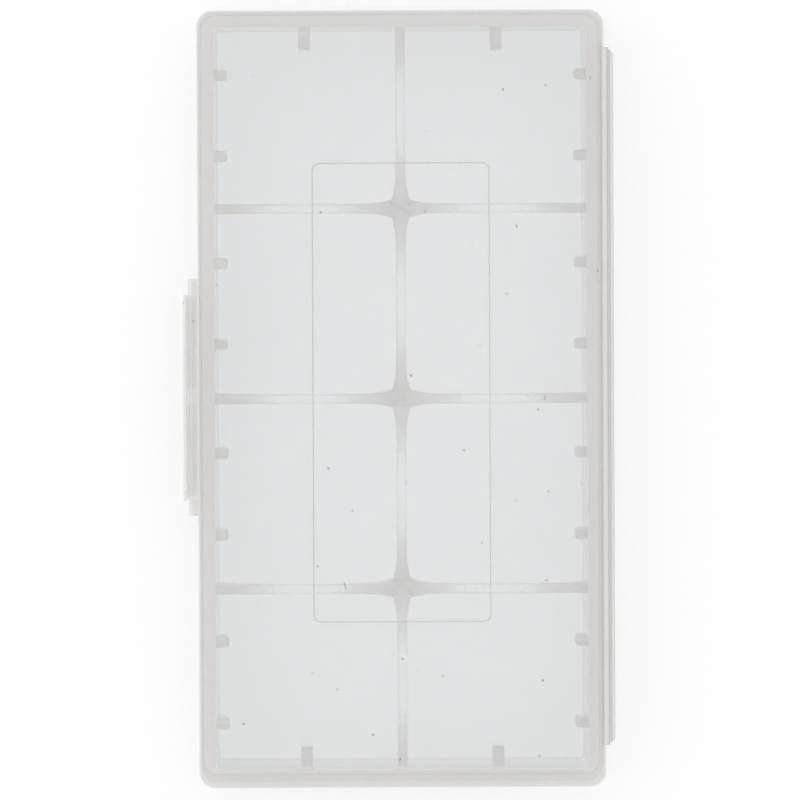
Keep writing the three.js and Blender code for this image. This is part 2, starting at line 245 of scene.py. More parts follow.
class CaseLooks(bpy.types.PropertyGroup):
    """Colours and finish of the case."""

    resin: bpy.props.FloatVectorProperty(
        name="Resin",
        description="Colour of the natural polypropylene",
        default=(0.8, 0.817, 0.835),
        size=3,
        subtype="COLOR",
    )
    deep_resin: bpy.props.FloatVectorProperty(
        name="Deep resin",
        description="Colour of the ribs and walls, away from the plates",
        default=(0.905, 0.898, 0.885),
        size=3,
        subtype="COLOR",
    )
    # Painted shade: this colour paints the shade on the panel's step, the flap's lip and the hinge film
    painted_shade_resin: bpy.props.FloatVectorProperty(
        name="Painted shade resin",
        description="Colour of the panel's step, the flap's lip and the hinge film, as painted shade",
        default=(0.82, 0.82, 0.81),
        size=3,
        subtype="COLOR",
    )
    deep_run: bpy.props.FloatProperty(
        name="Deep run", description="Way from a plate to the deep colour", default=0.003, unit="LENGTH"
    )
    depth_tint: bpy.props.FloatVectorProperty(
        name="Depth tint",
        description="Colour that deep resin takes on",
        default=(0.81, 0.765, 0.72),
        size=3,
        subtype="COLOR",
    )
    depth_density: bpy.props.FloatProperty(
        name="Depth density", description="How fast deep resin takes on its tint, per metre", default=30.0
    )
    dust: bpy.props.FloatVectorProperty(
        name="Dust",
        description="Colour of the few specks and scratches",
        default=(0.3, 0.29, 0.27),
        size=3,
        subtype="COLOR",
    )
    dust_cover: bpy.props.FloatProperty(
        name="Dust cover", description="How much light a speck holds back", default=0.7, subtype="FACTOR"
    )
    speck_scale: bpy.props.FloatProperty(
        name="Speck scale", description="How close the specks lie, per metre", default=230.0
    )
    speck_size: bpy.props.FloatProperty(
        name="Speck size", description="Size of a speck, as a share of their spacing", default=0.03
    )
    haze: bpy.props.FloatProperty(
        name="Haze", description="Share of light that the skin holds back", default=0.213, subtype="FACTOR"
    )
    slant_haze: bpy.props.FloatProperty(
        name="Slant haze",
        description="What is added on faces that slant away from the plates",
        default=0.415,
        subtype="FACTOR",
    )
    slant_start: bpy.props.FloatProperty(
        name="Slant start", description="Slant at which that haze begins", default=0.035, subtype="FACTOR"
    )
    slant_end: bpy.props.FloatProperty(
        name="Slant end", description="Slant at which that haze is full", default=0.14, subtype="FACTOR"
    )
    thin_share: bpy.props.FloatProperty(
        name="Thin share", description="Share of that haze on the thin flap", default=0.6, subtype="FACTOR"
    )
    scratch_scale: bpy.props.FloatProperty(
        name="Scratch scale", description="How close the scratches lie, per metre", default=210.0
    )
    scratch_size: bpy.props.FloatProperty(
        name="Scratch size", description="Width of a scratch, as a share of their spacing", default=0.014
    )
    scratch_length: bpy.props.FloatProperty(
        name="Scratch length", description="Length of a scratch over its width", default=6.0
    )
    scratch_sway: bpy.props.FloatProperty(
        name="Scratch sway", description="How far the scratches wander", default=0.006, unit="LENGTH"
    )
    sway_scale: bpy.props.FloatProperty(
        name="Sway scale", description="How often the scratches turn, per metre", default=120.0
    )
    roughness: bpy.props.FloatProperty(
        name="Roughness", description="Roughness of the moulded surface", default=0.3, subtype="FACTOR"
    )
    index: bpy.props.FloatProperty(
        name="Index", description="Refractive index of polypropylene", default=1.49
    )
    grain_scale: bpy.props.FloatProperty(
        name="Grain scale", description="How fine the satin grain is, per metre", default=2600.0
    )
    grain_strength: bpy.props.FloatProperty(
        name="Grain strength", description="How much of the grain shows", default=0.05, subtype="FACTOR"
    )
    grain_height: bpy.props.FloatProperty(
        name="Grain height", description="Height of the satin grain", default=0.0001, unit="LENGTH"
    )
    flow_scale: bpy.props.FloatProperty(
        name="Flow scale", description="How close the clouds in the resin lie, per metre", default=60.0
    )
    flow_gloss: bpy.props.FloatProperty(
        name="Flow gloss", description="How much roughness varies in them", default=0.04, subtype="FACTOR"
    )
    flow_haze: bpy.props.FloatProperty(
        name="Flow haze", description="How much haze varies in them", default=0.03, subtype="FACTOR"
    )


class StageSettings(bpy.types.PropertyGroup):
    """Camera and light."""

    camera_height: bpy.props.FloatProperty(
        name="Camera height", description="Camera above the upper face", default=0.92, unit="LENGTH"
    )
    camera_place: bpy.props.FloatVectorProperty(
        name="Camera place",
        description="Camera's place over the case, from its middle",
        default=(-0.0056, 0.0189),
        size=2,
        unit="LENGTH",
    )
    camera_range: bpy.props.FloatProperty(
        name="Camera range", description="Farthest that the camera shows", default=10.0, unit="LENGTH"
    )
    camera_roll: bpy.props.FloatProperty(
        name="Camera roll", description="Turn of the picture", default=math.radians(-0.24), unit="ROTATION"
    )
    picture_width: bpy.props.FloatProperty(
        name="Picture width", description="Width of the view at the upper face", default=0.08, unit="LENGTH"
    )
    picture_middle: bpy.props.FloatVectorProperty(
        name="Picture middle",
        description="Point of the upper face in the middle of the view",
        default=(0.00004, -0.0001),
        size=2,
        unit="LENGTH",
    )
    paper: bpy.props.FloatVectorProperty(
        name="Paper", description="Colour of the floor", default=(0.95, 0.95, 0.95), size=3, subtype="COLOR"
    )
    paper_glow: bpy.props.FloatProperty(
        name="Paper glow", description="How far the floor fades to white", default=0.6, subtype="FACTOR"
    )
    paper_reach: bpy.props.FloatProperty(
        name="Paper reach", description="How far the floor goes to each side", default=3.0, unit="LENGTH"
    )
    paper_drop: bpy.props.FloatProperty(
        name="Paper drop", description="Gap between the case and the floor", default=0.00005, unit="LENGTH"
    )
    surround: bpy.props.FloatProperty(
        name="Surround", description="Light from the white surround, which itself looks like 1", default=0.8
    )
    lamp_size: bpy.props.FloatProperty(
        name="Lamp size", description="Width and length of the soft lamp", default=1.2, unit="LENGTH"
    )
    lamp_power: bpy.props.FloatProperty(
        name="Lamp power", description="Power of the soft lamp", default=5.0, unit="POWER"
    )
    lamp_place: bpy.props.FloatVectorProperty(
        name="Lamp place",
        description="Place of the soft lamp, which points at the case",
        default=(-0.12, 0.15, 1.1),
        size=3,
        unit="LENGTH",
    )
    skins: bpy.props.IntProperty(
        name="Skins", description="Most clear surfaces that a ray passes through", default=32
    )


def in_millimetres(group):
    """A property group's lengths as plain numbers in millimetres."""
    return SimpleNamespace(**{name: getattr(group, name) / MILLIMETRE for name in group.__annotations__})


# Modelling steps, on meshes in millimetres


def block(low, high):
    """A box between two corners."""
    bm = bmesh.new()
    bmesh.ops.create_cube(bm, size=1)
    bmesh.ops.scale(bm, vec=high - low, verts=bm.verts)
    bmesh.ops.translate(bm, vec=(low + high) / 2, verts=bm.verts)
    bm.normal_update()
    return bm


def faces_where(bm, test):
    """The faces whose middle and direction pass a test."""
    bm.normal_update()
    return [face for face in bm.faces if test(face.calc_center_median(), face.normal)]


def cut(bm, axis, places, test):
    """Cuts the faces that pass a test across an axis, at each place."""
    for place in places:
        faces = faces_where(bm, test)
        edges = dict.fromkeys(edge for face in faces for edge in face.edges)
        points = dict.fromkeys(point for face in faces for point in face.verts)
        origin, direction = Vector(), Vector()
        origin[axis] = place
        direction[axis] = 1
        geometry = [*points, *edges, *faces]
        bmesh.ops.bisect_plane(bm, geom=geometry, dist=NEAR, plane_co=origin, plane_no=direction)


def draw_out(bm, faces):
    """Extrudes a region of faces in place and returns its new faces and points."""
    made = bmesh.ops.extrude_face_region(bm, geom=faces)["geom"]
    bmesh.ops.delete(bm, geom=faces, context="FACES")
    new_faces = [item for item in made if isinstance(item, bmesh.types.BMFace)]
    new_points = [item for item in made if isinstance(item, bmesh.types.BMVert)]
    return new_faces, new_points


def round_off(bm, edges, radius, segments):
    """Rounds edges with a fillet, or chamfers them where it has one segment."""
    bmesh.ops.bevel(
        bm,
        geom=edges,
        offset=radius,
        offset_type="OFFSET",
        affect="EDGES",
        segments=segments,
        profile=0.5,
        material=-1,
        clamp_overlap=False,
    )
    bm.normal_update()


def edges_where(bm, test):
    """The sharp edges whose two ends pass a test."""
    bm.normal_update()
    sharp = [edge for edge in bm.edges if edge.is_manifold and edge.calc_face_angle() > SHARP]
    return [edge for edge in sharp if test(*(point.co for point in edge.verts))]


def upright_at(places):
    """A test for edges that stand on one of some places in X and Y."""

    def test(a, b):
        flat = (a.xy - b.xy).length < NEAR
        return flat and any((a.xy - Vector(place)).length < NEAR * 10 for place in places)

    return test


def lying_at(height):
    """A test for edges that lie at one height."""
    return lambda a, b: abs(a.z - height) < NEAR and abs(b.z - height) < NEAR


def corners(low, high):
    """The four corners of a box, seen from above."""
    return [(x, y) for x in (low.x, high.x) for y in (low.y, high.y)]


def make_piece(bm, name, *materials):
    """A finished mesh as an object at the origin, in metres, with flat faces kept flat."""
    bmesh.ops.remove_doubles(bm, verts=bm.verts, dist=NEAR)
    bmesh.ops.recalc_face_normals(bm, faces=bm.faces)
    bmesh.ops.scale(bm, vec=(MILLIMETRE,) * 3, verts=bm.verts)
    for face in bm.faces:
        face.smooth = True
    for edge in bm.edges:
        edge.smooth = not edge.is_manifold or edge.calc_face_angle() < SHARP
    mesh = bpy.data.meshes.new(name)
    bm.to_mesh(mesh)
    bm.free()
    for material in materials:
        mesh.materials.append(material)
    piece = bpy.data.objects.new(name, mesh)
    bpy.context.scene.collection.objects.link(piece)
    level = piece.modifiers.new("Flat faces", "WEIGHTED_NORMAL")
    level.keep_sharp = True
    return piece


# The two halves


def hinge_leaf(bm, leaf, side):
    """Draws a hinge leaf out of a half's right wall. Side is 1 for the upper half and -1 for the lower."""
    wall = leaf.low.x
    reach = leaf.high.x - leaf.low.x

    def on_wall(middle, normal):
        return normal.x > FACING and abs(middle.x - wall) < NEAR and abs(middle.y) < INNER_Y

    cut(bm, Y, (leaf.low.y, leaf.high.y), on_wall)
    cut(bm, Z, (leaf.low.z, leaf.high.z), on_wall)

    def on_leaf(middle, normal):
        return (
            on_wall(middle, normal)
            and leaf.low.y < middle.y < leaf.high.y
            and leaf.low.z < middle.z < leaf.high.z
        )

    _, points = draw_out(bm, faces_where(bm, on_leaf))
    outer = leaf.high.z if side > 0 else leaf.low.z
    for point in points:
        point.co.x += reach
        if abs(point.co.z - outer) < NEAR:
            point.co.z -= side * reach


def lower_moulding(sizes):
    """The plain half: a plate, four walls, the catch and a hinge leaf."""
    rim = RIM - sizes.parting_gap / 2
    bm = block(LOWER.low, Vector((LOWER.high.x, LOWER.high.y, FLOOR)))

    def inside(middle, normal):
        return normal.z > FACING

    cut(bm, X, (MIDDLE_X - INNER_X, MIDDLE_X + INNER_X), inside)
    cut(bm, Y, (-INNER_Y, INNER_Y), inside)

    def on_walls(middle, normal):
        in_wall = abs(middle.x - MIDDLE_X) > INNER_X or abs(middle.y) > INNER_Y
        return inside(middle, normal) and in_wall

    _, points = draw_out(bm, faces_where(bm, on_walls))
    for point in points:
        point.co.z = rim
    hinge_leaf(bm, LOWER_LEAF, -1)

    def on_left_wall(middle, normal):
        return normal.x < -FACING and abs(middle.x - LOWER.low.x) < NEAR and abs(middle.y) < INNER_Y

    cut(bm, Y, (LEDGE.low.y, LEDGE.high.y), on_left_wall)
    cut(bm, Z, (LEDGE.low.z, LEDGE.high.z), on_left_wall)

    def on_ledge(middle, normal):
        return (
            on_left_wall(middle, normal)
            and LEDGE.low.y < middle.y < LEDGE.high.y
            and LEDGE.low.z < middle.z < LEDGE.high.z
        )

    _, points = draw_out(bm, faces_where(bm, on_ledge))
    for point in points:
        point.co.x = LEDGE.low.x
        if abs(point.co.z - LEDGE.low.z) < NEAR:
            point.co.z += sizes.ledge_release
    top_edge = edges_where(
        bm, lambda a, b: lying_at(LEDGE.high.z)(a, b) and max(a.x, b.x) < LEDGE.low.x + NEAR
    )
    round_off(bm, top_edge, sizes.ledge_chamfer, CHAMFER)

    round_off(bm, edges_where(bm, upright_at(corners(LOWER.low, LOWER.high))), sizes.corner_radius, CORNER)
    inner = [(MIDDLE_X + x, y) for x in (-INNER_X, INNER_X) for y in (-INNER_Y, INNER_Y)]
    round_off(bm, edges_where(bm, upright_at(inner)), sizes.inner_corner_radius, SMALL_ROUND)
    round_off(bm, edges_where(bm, lying_at(LOWER.low.z)), sizes.edge_radius, SMALL_ROUND)
    round_off(bm, edges_where(bm, lambda a, b: True), sizes.chamfer, CHAMFER)
    return bm


def evenly_filled(fixed, gap):
    """Fixed places in order, with others spread evenly between them, no further apart than a gap."""
    places = sorted(fixed)
    filled = places[:1]
    for low, high in zip(places, places[1:]):
        steps = math.ceil((high - low) / gap)
        filled += [low + (high - low) * step / steps for step in range(1, steps + 1)]
    return filled


class RibPlan:
    """Where the ribs, side ribs, end stops and walls stand on the upper plate, and how deep they are."""

    line_gap = 0.45  # millimetres at most between the lines on which the scoops are drawn
    foot_margin = 1.0  # millimetres past a foot's tip that stay without chamfers

    def __init__(self, sizes):
        self.sizes = sizes
        self.half = sizes.rib_thickness / 2
        self.wide = sizes.crossing_width / 2
        self.flare_end = self.wide + sizes.flare_run
        self.foot_end = max(stop.low.y for stop in END_STOPS)
        self.low = CENTRE_RIB.low.z
        self.scoop_z = CEILING - sizes.cradle_floor - sizes.cradle_radius
        column = (self.half + INNER_X) / 2
        self.columns = [MIDDLE_X - column, MIDDLE_X + column]
        faces = [-INNER_Y, *(y + side * self.half for y in CROSS_Y for side in (-1, 1)), INNER_Y]
        self.bays = list(zip(faces[::2], faces[1::2]))
        # The rows of short cells share the pitch of the cross ribs, apart from the two at the ends
        pitch_rows = [(a + b) / 2 for a, b in zip(CROSS_Y, CROSS_Y[1:])]
        self.rows = [sum(self.bays[0]) / 2, *pitch_rows, sum(self.bays[-1]) / 2]

    def x_places(self):
        """Where the plate is cut along the case."""
        offsets = (self.half, self.flare_end, INNER_X)
        fixed = {MIDDLE_X, *(MIDDLE_X + side * offset for side in (-1, 1) for offset in offsets)}
        # Rounded, so that boxes on one line give one place
        fixed |= {round(x, 4) for x in self.side_rib_tips()}
        fixed |= {round(x, 4) for stop in END_STOPS for x in (stop.low.x, stop.high.x)}
        return evenly_filled(fixed, self.line_gap)

    def y_places(self):
        """Where the plate is cut across the case."""
        fixed = {-INNER_Y, INNER_Y, -self.stop_face(), self.stop_face(), -self.foot_end, self.foot_end}
        fixed |= {y + side * self.half for y in CROSS_Y for side in (-1, 0, 1)}
        fixed |= {y + side * self.flare_end for y in CROSS_Y for side in (-1, 1)}
        fixed |= {round(y, 4) for rib in SIDE_RIBS for y in (rib.low.y, rib.high.y)}
        return evenly_filled(fixed, self.line_gap)

    def side_rib_tips(self):
        """How far in each side rib reaches."""
        return [rib.low.x if rib.low.x > MIDDLE_X else rib.high.x for rib in SIDE_RIBS]

    def side_rib_corners(self):
        """The two corners at the tip of each side rib."""
        tips = zip(self.side_rib_tips(), SIDE_RIBS)
        return [(x, y) for x, rib in tips for y in (rib.low.y, rib.high.y)]

    def stop_face(self):
        """How far from the middle the end stops' faces are."""
        return INNER_Y - self.sizes.stop_reach

    def kind(self, point):
        """What stands on the plate at a point."""
        x, y = point.x, point.y
        if abs(x - MIDDLE_X) > INNER_X or abs(y) > INNER_Y:
            return "wall"
        if abs(x - MIDDLE_X) < self.half:
            return "centre rib"
        if any(abs(y - rib) < self.half for rib in CROSS_Y):
            return "cross rib"
        if any(rib.low.x < x < rib.high.x and rib.low.y < y < rib.high.y for rib in SIDE_RIBS):
            return "side rib"
        if any(stop.low.x < x < stop.high.x and stop.low.y < y < stop.high.y for stop in END_STOPS):
            return "stop" if abs(y) > self.stop_face() else "foot"
        return None

    def flare(self, distance):
        """How much wider half a rib is, at a distance from a crossing."""
        share = min(max((distance - self.wide) / self.sizes.flare_run, 0), 1)
        return (self.wide - self.half) * (1 - share) ** 2

    def widen(self, point):
        """Moves a point on a rib's side out to the flare."""
        across = point.x - MIDDLE_X
        along = point.y - min(CROSS_Y, key=lambda y: abs(point.y - y))
        if abs(abs(across) - self.half) < NEAR:
            point.x += math.copysign(self.flare(abs(along)), across)
        if abs(abs(along) - self.half) < NEAR and abs(across) < INNER_X:
            point.y += math.copysign(self.flare(abs(across)), along)

    def scoop(self, place, middles):
        """Height of the scoops' roof at a place across them."""
        radius = self.sizes.cradle_radius
        offsets = [place - middle for middle in middles if abs(place - middle) < radius]
        return max([self.low, *(self.scoop_z + math.sqrt(radius**2 - offset**2) for offset in offsets)])

    def foot(self, y):
        """Height of a foot's underside."""
        share = (abs(y) - self.foot_end) / (self.stop_face() - self.foot_end)
        share = min(max(share, 0), 1)
        bend = 1 - math.sqrt(1 - share)
        return CEILING - self.sizes.foot_tip - (self.sizes.foot_rise - self.sizes.foot_tip) * bend**2

    def first_depth(self, point, kinds):
        """How far down a point of the ribs goes, before the stops and the walls go on."""
        if "centre rib" in kinds:
            if abs(point.x - MIDDLE_X) < NEAR and any(abs(point.y - y) < NEAR for y in CROSS_Y):
                return self.low - self.sizes.crown
            return max(self.scoop(point.x, self.columns), self.scoop(point.y, self.rows))
        if "cross rib" in kinds or "side rib" in kinds:
            return self.scoop(point.x, self.columns)
        if "foot" in kinds and "stop" not in kinds:
            return self.foot(point.y)
        return CEILING - self.sizes.foot_rise

    def second_depth(self, point, kinds):
        """How far down the stops, which slope to guide a cell in, and the first stretch of the walls go."""
        if "stop" not in kinds:
            return self.low
        share = (INNER_Y - abs(point.y)) / self.sizes.stop_reach
        return END_STOPS[0].low.z + self.sizes.stop_lead * share


def upper_moulding(sizes):
    """The ribbed half: a plate with a sunk panel, walls, ribs, end stops and a hinge leaf."""
    plan = RibPlan(sizes)
    rim = RIM + sizes.parting_gap / 2
    bm = block(Vector((UPPER.low.x, UPPER.low.y, CEILING)), UPPER.high)

    def under(middle, normal):
        return normal.z < -FACING

    cut(bm, X, plan.x_places(), under)
    cut(bm, Y, plan.y_places(), under)
    standing = [face for face in faces_where(bm, under) if plan.kind(face.calc_center_median())]

    def deepen(faces, depth):
        """Draws faces down to a depth that follows from their kinds, and returns them."""
        new_faces, points = draw_out(bm, faces)
        # The kinds are told by the straight lines of the plan, so before the ribs flare
        kinds = {face: plan.kind(face.calc_center_median()) for face in new_faces}
        for point in bm.verts:
            if abs(point.co.z - CEILING) < NEAR:
                plan.widen(point.co)
        for point in points:
            point.co.z = depth(point.co, {kinds[face] for face in point.link_faces if face in kinds})
        return kinds

    kinds = deepen(standing, plan.first_depth)
    deeper = [face for face, kind in kinds.items() if kind in ("wall", "stop")]
    kinds = deepen(deeper, plan.second_depth)
    walls = [face for face, kind in kinds.items() if kind == "wall"]
    deepen(walls, lambda point, near: rim)
    bmesh.ops.remove_doubles(bm, verts=bm.verts, dist=NEAR)
    hinge_leaf(bm, UPPER_LEAF, 1)

    def on_top(middle, normal):
        return normal.z > FACING

    panel_x = [MIDDLE_X + side * sizes.label_width / 2 for side in (-1, 1)]
    panel_y = [sizes.label_shift + side * sizes.label_length / 2 for side in (-1, 1)]
    cut(bm, X, panel_x, on_top)
    cut(bm, Y, panel_y, on_top)

    def on_panel(middle, normal):
        inside = panel_x[0] < middle.x < panel_x[1] and panel_y[0] < middle.y < panel_y[1]
        return on_top(middle, normal) and inside

    _, points = draw_out(bm, faces_where(bm, on_panel))
    for point in points:
        point.co.z -= sizes.label_depth
    panel = [(x, y) for x in panel_x for y in panel_y]
    round_off(bm, edges_where(bm, upright_at(panel)), sizes.label_corner, SMALL_ROUND)
    sunk = [point for point in bm.verts if abs(point.co.z - UPPER.high.z + sizes.label_depth) < NEAR]
    middle = Vector((MIDDLE_X, sizes.label_shift, 0))
    shrink = [1 - 2 * sizes.label_slope / size for size in (sizes.label_width, sizes.label_length)]
    bmesh.ops.scale(bm, vec=(*shrink, 1), space=Matrix.Translation(-middle), verts=sunk)

    def on_step(middle, normal):
        return middle.z > UPPER.high.z - sizes.label_depth and STEEP < normal.z < FACING

    # The panel's sloped step takes the painted-shade resin, which paints a dark outline round the panel in
    # place of shade
    for face in faces_where(bm, on_step):
        face.material_index = PAINTED_SHADE_SLOT

    inner = [(MIDDLE_X + x, y) for x in (-INNER_X, INNER_X) for y in (-INNER_Y, INNER_Y)]
    round_off(bm, edges_where(bm, upright_at(corners(UPPER.low, UPPER.high))), sizes.corner_radius, CORNER)
    round_off(bm, edges_where(bm, upright_at(inner)), sizes.inner_corner_radius, SMALL_ROUND)
    round_off(bm, edges_where(bm, upright_at(plan.side_rib_corners())), sizes.tip_radius, SMALL_ROUND)

    def on_outline(a, b):
        edge = max(abs(a.x - MIDDLE_X), abs(b.x - MIDDLE_X)) > sizes.label_width
        return lying_at(UPPER.high.z)(a, b) and (edge or max(abs(a.y), abs(b.y)) > INNER_Y)

    round_off(bm, edges_where(bm, on_outline), sizes.edge_radius, SMALL_ROUND)

    def at_crossing(point):
        return any((point.xy - Vector((MIDDLE_X, y))).length < sizes.crossing_width for y in CROSS_Y)

    def other(a, b):
        middle = (a + b) / 2
        if at_crossing(a) or at_crossing(b):
            return False
        on_foot = plan.foot_end - plan.foot_margin < abs(middle.y) < plan.stop_face() - NEAR
        on_face = middle.z > UPPER.high.z - 2 * sizes.label_depth
        return not on_face and not (on_foot and middle.z > CEILING - sizes.foot_rise)

    def at_wall(edge):
        middle = (edge.verts[0].co + edge.verts[1].co) / 2
        near = sizes.inner_corner_radius
        return abs(middle.x - MIDDLE_X) > INNER_X - near or abs(middle.y) > INNER_Y - near

    fine = [edge for edge in edges_where(bm, other) if edge.is_convex or at_wall(edge)]
    round_off(bm, fine, sizes.chamfer, CHAMFER)
    return bm


# The hinge film and the latch


def film_moulding(sizes):
    """The film, folded half round from leaf to leaf, with ends that round off towards its free edge."""
    wall = LOWER_LEAF.low.x
    root = LOWER_LEAF.high.x
    outer = FILM.high.x - root
    radius = outer - sizes.film_thickness / 2
    end = FILM.high.y
    bm = bmesh.new()
    line = [bm.verts.new((root, y, RIM - radius)) for y in (-end, end)]
    edge = bm.edges.new(line)
    bmesh.ops.subdivide_edges(bm, edges=[edge], cuts=FILM_CUTS)
    bmesh.ops.spin(
        bm,
        geom=bm.verts[:] + bm.edges[:],
        cent=(root, 0, RIM),
        axis=(0, -1, 0),
        angle=math.pi,
        steps=FILM_STEPS,
    )
    bmesh.ops.recalc_face_normals(bm, faces=bm.faces)
    bmesh.ops.solidify(bm, geom=bm.faces[:], thickness=sizes.film_thickness)
    shift = sizes.film_thickness / 2
    for point in bm.verts:
        away = Vector((point.co.x - root, 0, point.co.z - RIM))
        if away.length > NEAR:
            far = away.length > radius - shift / 2
            point.co += away.normalized() * ((radius + shift if far else radius - shift) - away.length)
        if abs(abs(point.co.y) - end) < NEAR:
            reach = min(max((point.co.x - wall) / (FILM.high.x - wall), 0), 1)
            point.co.y -= math.copysign(sizes.hinge_end_run * (1 - math.sqrt(1 - reach)) ** 2, point.co.y)
    return bm


def flap_moulding(sizes):
    """The latch flap: a thin plate that hangs from a web, with a hook that a slot splits in two."""
    wall = FLAP.high.x
    inner_face = FLAP.low.x + sizes.flap_thickness
    hook_low = FLAP.low.z + sizes.flap_tail
    hook_top = hook_low + sizes.hook_height
    web_low = FLAP.high.z - sizes.web_thickness
    slot = sizes.hook_slot / 2
    hook_end = FLAP.high.y - sizes.hook_inset
    bm = block(FLAP.low, Vector((inner_face, FLAP.high.y, FLAP.high.z)))

    def inside(middle, normal):
        return normal.x > FACING

    cut(bm, Z, (web_low, hook_top, hook_low), inside)
    cut(bm, Y, (-hook_end, -slot, slot, hook_end), inside)
    web = faces_where(bm, lambda middle, normal: inside(middle, normal) and middle.z > web_low)
    _, points = draw_out(bm, web)
    for point in points:
        point.co.x = wall

    def on_hook(middle, normal):
        along_hook = slot < abs(middle.y) < hook_end
        return inside(middle, normal) and along_hook and hook_low < middle.z < hook_top

    _, points = draw_out(bm, faces_where(bm, on_hook))
    for point in points:
        root = abs(point.co.z - hook_top) < NEAR
        point.co.x = inner_face + sizes.hook_reach
        point.co.z = hook_top - sizes.hook_slope - (0 if root else sizes.hook_tip)

    for point in bm.verts:
        if point.co.z < FLAP.low.z + NEAR and point.co.x > inner_face - NEAR:
            point.co.x = FLAP.low.x + sizes.flap_lip

    def down_tail(a, b):
        in_plate = max(a.x, b.x) < inner_face + NEAR and max(abs(a.y), abs(b.y)) < hook_end + NEAR
        return in_plate and max(a.z, b.z) < hook_low + NEAR and abs(a.z - b.z) > NEAR

    needless = [edge for edge in bm.edges if down_tail(*(point.co for point in edge.verts))]
    bmesh.ops.dissolve_edges(bm, edges=needless, use_verts=True)
    # The inner face of the flap's tail takes the painted-shade resin, whose fuller haze and colour paint the
    # dark band of shade below the hook
    for face in faces_where(bm, lambda middle, normal: inside(middle, normal) and middle.z < hook_low):
        face.material_index = PAINTED_SHADE_SLOT

    def free_corner(a, b):
        return lying_at(FLAP.low.z)(a, b) and abs(a.y - b.y) < NEAR

    round_off(bm, edges_where(bm, free_corner), sizes.flap_corner, FLAP_CORNER)
    round_off(bm, edges_where(bm, lambda a, b: max(a.x, b.x) < wall - NEAR), sizes.flap_fillet, FLAP_EDGE)
    return bm


# Finishes


class Field:
    """A shader socket that takes part in Python expressions."""

    def __init__(self, finish, socket):
        self.finish = finish
        self.socket = socket

    def _with(self, operation, first, second):
        return self.finish.field("ShaderNodeMath", {"operation": operation}, {0: first, 1: second})

    def __add__(self, other):
        return self._with("ADD", self, other)

    __radd__ = __add__

    def __sub__(self, other):
        return self._with("SUBTRACT", self, other)

    def __rsub__(self, other):
        return self._with("SUBTRACT", other, self)

    def __mul__(self, other):
        return self._with("MULTIPLY", self, other)

    __rmul__ = __mul__


class Finish:
    """A material's node tree, written by expressions."""

    def __init__(self, tree):
        self.tree = tree
        self.tree.nodes.clear()

    def node(self, kind, settings=None, inputs=None):
        """A node with its settings and the values or links of its sockets."""
        made = self.tree.nodes.new(kind)
        for name, value in (settings or {}).items():
            setattr(made, name, value)
        for name, value in (inputs or {}).items():
            self.feed(made.inputs[name], value)
        return made

    def feed(self, socket, value):
        """Sets a socket's value, or links it to another node's socket."""
        if isinstance(value, Field):
            value = value.socket
        if isinstance(value, bpy.types.NodeSocket):
            self.tree.links.new(value, socket)
        else:
            socket.default_value = value

    def least(self, first, second):
        """The smaller of two values."""
        return self.field("ShaderNodeMath", {"operation": "MINIMUM"}, {0: first, 1: second})

    def most(self, first, second):
        """The larger of two values."""
        return self.field("ShaderNodeMath", {"operation": "MAXIMUM"}, {0: first, 1: second})

    def mixed(self, share, first, second):
        """A colour between two others."""
        inputs = {0: share, 6: first, 7: second}
        return self.field("ShaderNodeMix", {"data_type": "RGBA"}, inputs, output=2)

    def field(self, kind, settings=None, inputs=None, output=0):
        """A node's output as a field."""
        return Field(self, self.node(kind, settings, inputs).outputs[output])


